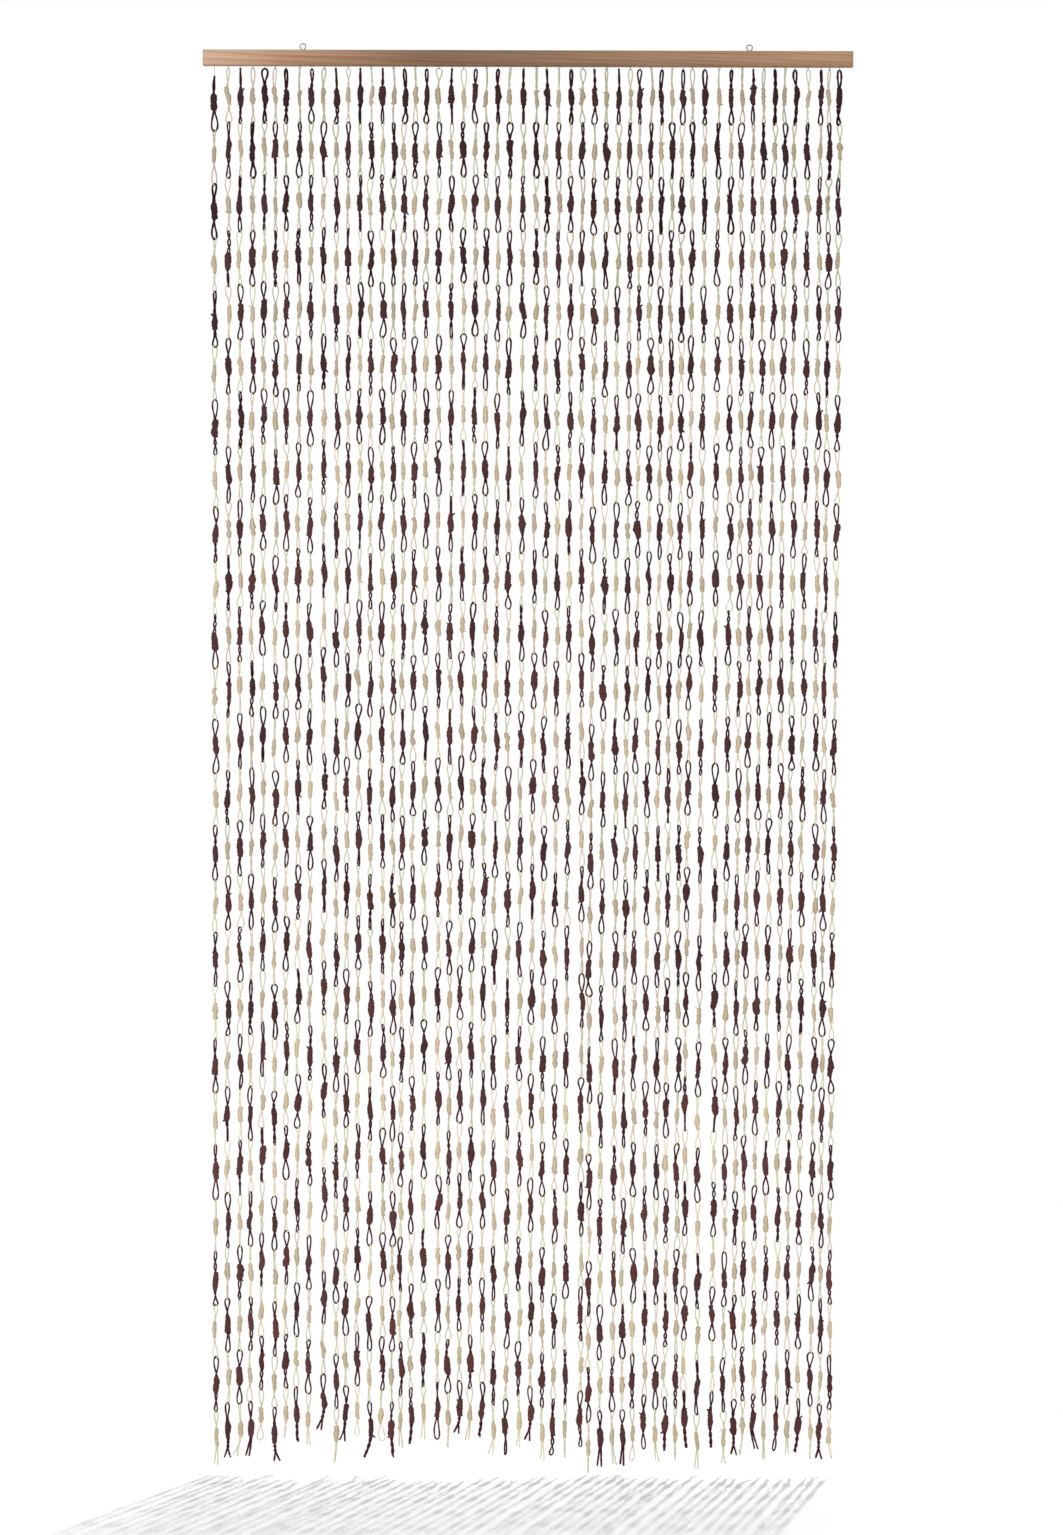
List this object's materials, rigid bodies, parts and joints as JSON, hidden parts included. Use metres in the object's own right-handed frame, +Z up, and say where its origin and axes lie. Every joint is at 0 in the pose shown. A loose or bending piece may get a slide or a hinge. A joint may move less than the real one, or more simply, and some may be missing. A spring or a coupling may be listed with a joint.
{
  "type": "paper door curtain with wooden bar",
  "caption": "Door curtain of hanging strings of knotted brown and cream paper links, under a squared wooden bar with two eye screws.",
  "frame": {"origin": "the middle of the line that joins the centres of the two eye screws' rings", "axes": "+Z up along the hanging strings, +X to the right along the bar as seen from the front, +Y to the back, towards the wall or door head"},
  "size_m": [0.9, 0.0123, 1.999],
  "materials": {
    "wood": "bare pinkish light wood, planed, straight grained",
    "steel": "pale plated wire",
    "brown_paper": "dark reddish brown twisted paper cord, matt",
    "cream_paper": "cream twisted paper cord, matt"
  },
  "bodies": {
    "root": {"header_bar": "wood", "eye_left": "steel", "eye_right": "steel", "strings_brown_first": "brown_paper", "strings_cream_first": "cream_paper"}
  },
  "joints": []
}
